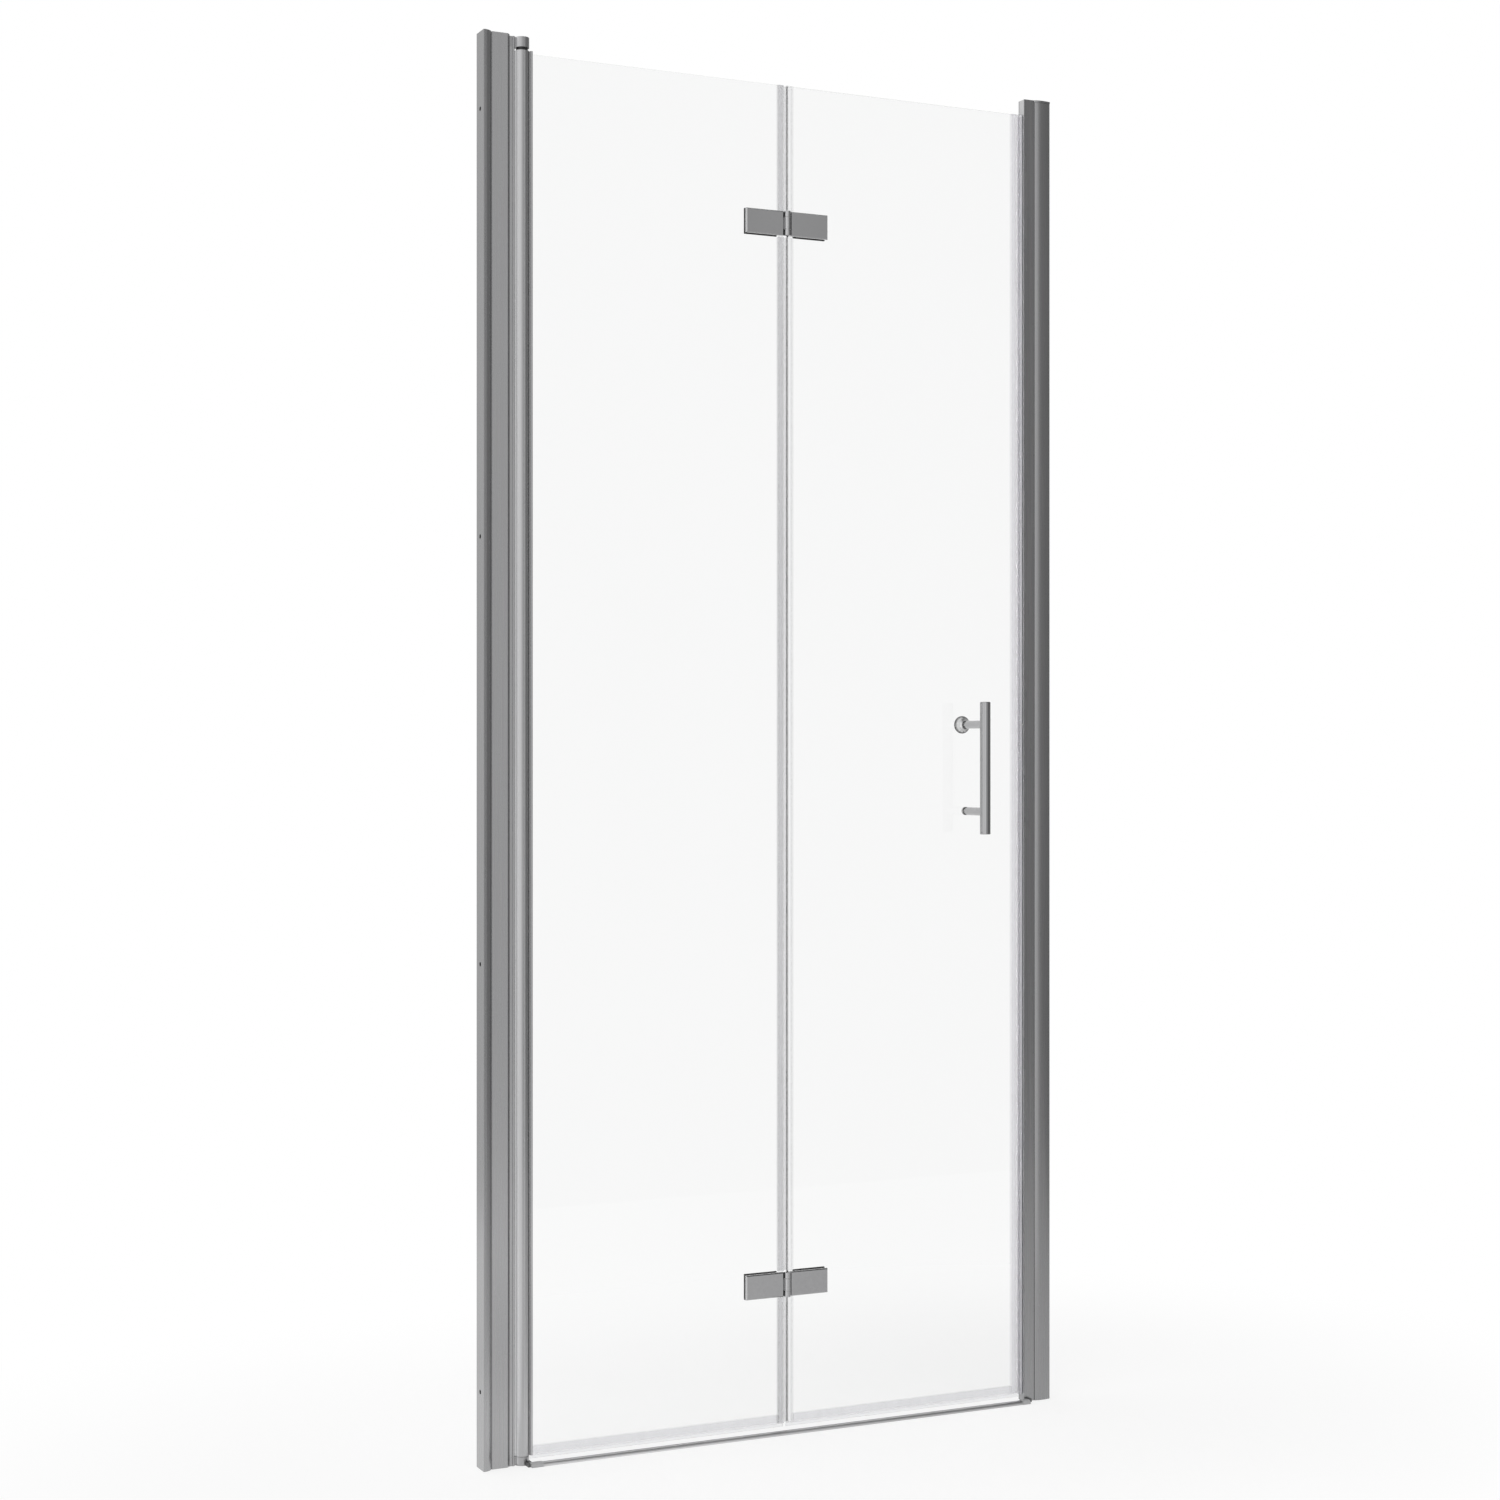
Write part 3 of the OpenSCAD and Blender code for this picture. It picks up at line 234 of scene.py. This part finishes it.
def material(name, colour, spread, scale, stretch, roughness, rough_spread, relief=0.0, painted_shade_outline_of=None,
             **constants):
    """A Principled material. Its colour varies by the share spread, and its roughness by rough_spread, in
    patches of about 1/scale metres times stretch. Its colour is darkened near the outline of the given round
    piece, as painted shade."""
    made = bpy.data.materials.new(name)
    made.use_nodes = True
    t = Tree(made.node_tree)
    out = t.add("ShaderNodeOutputMaterial")
    surface = t.add("ShaderNodeBsdfPrincipled")
    t.tree.links.new(surface.outputs[0], out.inputs[0])
    low, high = PATCHES
    patches = t.noise(scale, stretch, PATCH_DETAIL)
    tint = t.ramp(patches, [(low, shade(colour, 1 - spread)), (high, shade(colour, 1 + spread))])
    # Painted shade: the colour darkens towards the round piece's outline
    if painted_shade_outline_of:
        scaled = t.add("ShaderNodeVectorMath")
        scaled.operation = "SCALE"
        t.feed(scaled.inputs[0], tint)
        t.feed(scaled.inputs["Scale"], painted_rim_shade(t, painted_shade_outline_of))
        tint = scaled.outputs[0]
    t.feed(surface.inputs["Base Color"], tint)
    t.feed(surface.inputs["Roughness"],
           t.map_range(patches, low, high, roughness - rough_spread, roughness + rough_spread))
    if relief:
        ripple = t.noise(scale * RELIEF_FINER, stretch, RELIEF_DETAIL)
        bump = t.add("ShaderNodeBump", Height=ripple, Strength=RELIEF_STRENGTH, Distance=relief)
        t.feed(surface.inputs["Normal"], bump.outputs[0])
    for socket, value in constants.items():
        surface.inputs[socket.replace("_", " ")].default_value = value
    return made


# One finish for each slot: its name, colour and spread, patches per metre and their stretch, roughness and
# spread, relief, and the constants of the shader
finishes = {
    "frame_aluminium": material("satin_aluminium", SATIN, 0.03, 300, LONG_Z, 0.27, 0.03, FINE, Metallic=1.0),
    "pole_aluminium": material("pole_aluminium", SMOOTH, 0.03, 300, LONG_Z, 0.25, 0.03, FINE, Metallic=1.0),
    "bracket_metal": material("bracket_metal", SATIN, 0.03, 200, EVEN, 0.34, 0.04, FINE, Metallic=1.0),
    "cap_plastic": material("cap_plastic", GREY_COATING, 0.03, 200, EVEN, 0.4, 0.05, COARSE),
    "sill_aluminium": material("sill_aluminium", (0.58, 0.58, 0.585), 0.03, 300, LONG_X, 0.3, 0.03, FINE,
                               Metallic=1.0),
    "screw_steel": material("screw_steel", (0.5, 0.5, 0.5), 0.05, 400, EVEN, 0.25, 0.05, Metallic=1.0),
    "black_nylon": material("black_nylon", (0.02, 0.02, 0.021), 0.1, 300, EVEN, 0.5, 0.08, COARSE),
    "black_rubber": material("black_rubber", (0.03, 0.03, 0.03), 0.1, 300, EVEN, 0.6, 0.08, COARSE),
    "white_nylon": material("white_nylon", (0.8, 0.8, 0.79), 0.03, 200, EVEN, 0.4, 0.05, FINE),
    "grey_gasket": material("grey_gasket", (0.2, 0.2, 0.205), 0.05, 200, LONG_Z, 0.55, 0.06, COARSE),
    "magnet_rubber": material("magnet_rubber", (0.54, 0.54, 0.545), 0.04, 200, LONG_Z, 0.5, 0.08, COARSE),
    "hinge_chrome": material("hinge_chrome", SMOOTH, 0.03, 200, EVEN, 0.2, 0.03, FINE, Metallic=1.0),
    "handle_chrome": material("handle_chrome", CHROME, 0.03, 200, SHORT_Z, 0.14, 0.02, FINE, Metallic=1.0),
    "clear_glass": material("clear_glass", (0.955, 0.957, 0.956), 0.002, 4, EVEN, 0.0, 0.0,
                            Transmission_Weight=1.0, IOR=1.45),
    "clear_seal": material("clear_seal", (0.9, 0.9, 0.91), 0.015, 60, LONG_Z, 0.1, 0.04,
                           Transmission_Weight=1.0, IOR=1.3),
    "magnet_seal_plastic": material("magnet_seal_plastic", (0.72, 0.71, 0.75), 0.01, 60, LONG_Z, 0.15, 0.04,
                                    Transmission_Weight=0.9, IOR=1.18, Alpha=0.35),
}

# Pieces whose finish differs from the rest of their slot. The pole's fold seal is cloudy, and the handle
# leaf's is nearly clear
own_finishes = {
    # The knob's colour is darkened near its outline as painted shade
    "inner_knob": material("polished_knob", POLISHED, 0.02, 200, EVEN, 0.06, 0.02, painted_shade_outline_of=nodes["inner_knob"],
                           Metallic=1.0),
    "cap_nut": material("polished_nut", POLISHED, 0.02, 200, EVEN, 0.06, 0.02, Metallic=1.0),
    "handle_post_upper": material("polished_post", SMOOTH, 0.02, 200, SHORT_Y, 0.09, 0.02, Metallic=1.0),
    "right_channel_cap": material("coated_cap", GREY_COATING, 0.03, 200, EVEN, 0.27, 0.04, FINE,
                                  Metallic=1.0),
    "sill_pad_left": material("dark_grey_pad", (0.14, 0.14, 0.142), 0.06, 300, EVEN, 0.4, 0.06, COARSE),
    "sill_end_cap_left": material("pale_end_cap", (0.57, 0.57, 0.575), 0.03, 200, EVEN, 0.3, 0.05),
    "leaf_magnet_strip": material("white_magnet_strip", (0.96, 0.96, 0.97), 0.02, 200, LONG_Z, 0.5, 0.05),
    "fold_seal_pole": material("cloudy_seal", (0.79, 0.79, 0.8), 0.02, 60, LONG_Z, 0.14, 0.04,
                               Transmission_Weight=1.0, IOR=1.4),
    "fold_seal_handle": material("water_clear_seal", (0.94, 0.94, 0.945), 0.01, 60, LONG_Z, 0.06, 0.02,
                                 Transmission_Weight=1.0, IOR=1.4),
}
for twin, first in (("handle_post_lower", "handle_post_upper"), ("sill_end_cap_right", "sill_end_cap_left"),
                    ("sill_pad_right", "sill_pad_left")):
    own_finishes[twin] = own_finishes[first]

# Finishes of rounded edges alone: the knob's rim, dark as painted shade, and the panes' ground edges
painted_shade_rim = material("painted_shade_knob_rim", (0.1, 0.1, 0.102), 0.03, 200, EVEN, 0.12, 0.02, Metallic=1.0)
ground_edge = material("ground_glass_edge", (0.6, 0.62, 0.61), 0.03, 300, EVEN, 0.45, 0.05,
                       Transmission_Weight=0.5, IOR=1.45)


# ---------------------------------------------------------------- pieces

# Slots that the lamps light
LAMPLIT = {"frame_aluminium", "pole_aluminium", "bracket_metal", "cap_plastic", "sill_aluminium",
           "screw_steel", "hinge_chrome", "handle_chrome"}

# Rounding of sharp edges, and how far a pane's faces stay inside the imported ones
EDGE_WIDTH = 0.25 * MM
END_CAP_EDGE_WIDTH = 0.5 * MM
GLASS_EDGE_WIDTH = 0.8 * MM
KNOB_EDGE_WIDTH = 1.0 * MM
GLASS_INSET = 0.05 * MM
SHARP_ANGLE = math.radians(32)

# Points nearer than this are one, and faces within this angle are one face
WELD_REACH = 0.002 * MM
FLAT_ANGLE = math.radians(0.5)


def soften(obj, width, segments=2, inset=0.0, edge_slot=-1):
    """Rounds an object's sharp edges, on the shape as packed, and draws its surface in by inset. The new
    faces get the material at edge_slot, or at -1 their neighbours'."""
    custom = obj.data.attributes.get("custom_normal")
    if custom:
        obj.data.attributes.remove(custom)
    obj.data.shade_smooth()
    weld = obj.modifiers.new("weld", "WELD")
    weld.merge_threshold = WELD_REACH
    flat = obj.modifiers.new("flat", "DECIMATE")
    flat.decimate_type = "DISSOLVE"
    flat.angle_limit = FLAT_ANGLE
    if inset:
        draw_in = obj.modifiers.new("inset", "DISPLACE")
        draw_in.strength = -inset
        draw_in.mid_level = 0.0
    bevel = obj.modifiers.new("bevel", "BEVEL")
    bevel.width = width
    bevel.segments = segments
    bevel.limit_method = "ANGLE"
    bevel.angle_limit = SHARP_ANGLE
    bevel.harden_normals = True
    bevel.use_clamp_overlap = True
    bevel.material = edge_slot


def dress():
    """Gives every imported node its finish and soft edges, and collects those that the lamps light."""
    lamplit = bpy.data.collections.new("lamplit_pieces")
    for part in frame["record"]["subparts"]:
        obj = nodes[part["node"]]
        obj.data.materials.clear()
        obj.data.materials.append(own_finishes.get(part["node"], finishes[part["material_slot"]]))
        if part["material_slot"] == "clear_glass":
            obj.data.materials.append(ground_edge)
            soften(obj, GLASS_EDGE_WIDTH, inset=GLASS_INSET, edge_slot=1)
        elif part["node"] == "inner_knob":
            # The knob's rounded rim takes the dark finish of painted shade
            obj.data.materials.append(painted_shade_rim)
            soften(obj, KNOB_EDGE_WIDTH, segments=3, edge_slot=1)
        elif part["node"].startswith("sill_end_cap"):
            soften(obj, END_CAP_EDGE_WIDTH)
        else:
            soften(obj, EDGE_WIDTH)
        if part["material_slot"] in LAMPLIT:
            lamplit.objects.link(obj)
    return lamplit


lamplit_pieces = dress()


# ---------------------------------------------------------------- room, floor, camera

def make_room():
    """White for the camera and through glass, and a graded studio for reflections and soft light."""
    world = bpy.data.worlds.new("room")
    bpy.context.scene.world = world
    world.use_nodes = True
    t = Tree(world.node_tree)
    out = t.add("ShaderNodeOutputWorld")
    coord = t.add("ShaderNodeTexCoord")
    parts = t.add("ShaderNodeSeparateXYZ", Vector=coord.outputs["Generated"])
    heading = t.math("ARCTAN2", parts.outputs["X"], t.product(parts.outputs["Y"], -1.0))
    height = t.math("ARCSINE", parts.outputs["Z"])
    around = t.curve(heading, [(math.radians(angle), level) for angle, level in ROOM])
    upward = t.curve(height, [(math.radians(angle), level) for angle, level in HEIGHTS])
    studio = t.add("ShaderNodeBackground", Color=grey(1.0), Strength=t.product(around, upward))
    white = t.add("ShaderNodeBackground", Color=grey(1.0), Strength=WHITE)
    rays = t.add("ShaderNodeLightPath")
    seen = t.largest(rays.outputs["Is Camera Ray"], rays.outputs["Is Transmission Ray"])
    t.tree.links.new(t.mix_shader(seen, studio.outputs[0], white.outputs[0]), out.inputs[0])


def make_lamp(name, place, size, radiance, heading):
    """An upright panel that lights the lamplit pieces alone. It shines along +Y, turned by heading."""
    data = bpy.data.lights.new(name, "AREA")
    data.shape = "RECTANGLE"
    data.size, data.size_y = size
    data.energy = radiance * math.pi * size[0] * size[1]
    lamp = bpy.data.objects.new(name, data)
    lamp.location = place
    lamp.rotation_euler = (math.pi / 2, 0.0, heading)
    lamp.visible_camera = False
    lamp.visible_transmission = False
    lamp.light_linking.receiver_collection = lamplit_pieces
    bpy.context.scene.collection.objects.link(lamp)


def make_lamps():
    card_low, card_high = CARD_ENDS_Z
    for number, (x, width, radiance) in enumerate(CARDS):
        make_lamp(f"card_{number}", (x, CARD_Y, (card_low + card_high) / 2), (width, card_high - card_low),
                  radiance, 0.0)
    pole_left = min(corner[0] for corner in nodes["pole"].bound_box)
    make_lamp("gap_strip", (pole_left - STRIP_GAP, STRIP_Y, (cad_low.z + cad_high.z) / 2),
              (STRIP_WIDTH, cad_high.z - cad_low.z - 2 * STRIP_END), STRIP_RADIANCE, -math.pi / 2)


def floor_in_metal(t, x, y):
    """How bright metal sees the floor at each place."""
    across = t.curve(x, FLOOR_IN_METAL)
    behind = t.map_range(y, *FLOOR_BEHIND_Y, 1.0, FLOOR_BEHIND_SHARE, smooth=True)
    gain = t.map_range(x, *FLOOR_NEAR_X, FLOOR_NEAR_GAIN, 1.0, smooth=True)
    near = t.map_range(y, *FLOOR_NEAR_Y, 1.0, gain, smooth=True)
    return t.product(t.product(across, behind), near)


def floor_material(centre_x, half_width):
    """White to the camera and through glass, with a soft shadow round a door of that middle and width."""
    made = bpy.data.materials.new("floor_white")
    made.use_nodes = True
    t = Tree(made.node_tree)
    out = t.add("ShaderNodeOutputMaterial")
    rays = t.add("ShaderNodeLightPath")
    coord = t.add("ShaderNodeTexCoord")
    parts = t.add("ShaderNodeSeparateXYZ", Vector=coord.outputs["Object"])
    x, y = parts.outputs["X"], parts.outputs["Y"]
    direct = t.largest(rays.outputs["Is Camera Ray"], rays.outputs["Is Transmission Ray"])
    level = t.math("ADD", t.product(direct, WHITE),
                   t.product(t.math("SUBTRACT", 1.0, direct), floor_in_metal(t, x, y)))
    glow = t.add("ShaderNodeEmission", Color=grey(1.0), Strength=level)
    matt = t.add("ShaderNodeBsdfDiffuse", Color=grey(FLOOR_COLOUR))
    faint = t.add("ShaderNodeEmission", Color=grey(1.0), Strength=LIT_GLOW)
    lit = t.add("ShaderNodeAddShader")
    t.tree.links.new(matt.outputs[0], lit.inputs[0])
    t.tree.links.new(faint.outputs[0], lit.inputs[1])
    off_centre = t.math("ABSOLUTE", t.math("SUBTRACT", x, centre_x))
    aside = t.largest(t.math("SUBTRACT", off_centre, half_width), 0.0)
    away = t.math("SQRT", t.math("ADD", t.math("POWER", aside, 2.0), t.math("POWER", y, 2.0)))
    share = t.map_range(away, *SHADE_REACH, SHADE_SHARE, 0.0, smooth=True)
    shown = t.mix_shader(share, glow.outputs[0], lit.outputs[0])
    seen = t.largest(direct, rays.outputs["Is Glossy Ray"])
    t.tree.links.new(t.mix_shader(seen, matt.outputs[0], shown), out.inputs[0])
    return made


def make_floor():
    centre = (cad_low + cad_high) / 2
    mesh = bpy.data.meshes.new("floor")
    corners = [(-1, -1), (1, -1), (1, 1), (-1, 1)]
    points = [(centre.x + a * FLOOR_REACH, centre.y + b * FLOOR_REACH, -FLOOR_DROP) for a, b in corners]
    mesh.from_pydata(points, [], [(0, 1, 2, 3)])
    floor = bpy.data.objects.new("floor", mesh)
    bpy.context.scene.collection.objects.link(floor)
    mesh.materials.append(floor_material(centre.x, (cad_high.x - cad_low.x) / 2))


def make_camera():
    data = bpy.data.cameras.new("camera")
    data.sensor_width = SENSOR_MM
    data.lens = FOCAL_PX / FRAME_PX * SENSOR_MM
    data.shift_y = (HORIZON_PX - FRAME_PX / 2) / FRAME_PX
    data.clip_end = VIEW_REACH
    camera = bpy.data.objects.new("camera", data)
    camera.location = CAMERA_PLACE
    camera.rotation_euler = (math.pi / 2, 0.0, -CAMERA_YAW)
    bpy.context.scene.collection.objects.link(camera)
    bpy.context.scene.camera = camera


make_room()
make_lamps()
make_floor()
make_camera()
bpy.context.scene.view_settings.view_transform = "Standard"
bpy.context.scene.cycles.transparent_max_bounces = TRANSPARENT_BOUNCES
bpy.context.scene.cycles.transmission_bounces = BOUNCES
bpy.context.scene.cycles.max_bounces = BOUNCES
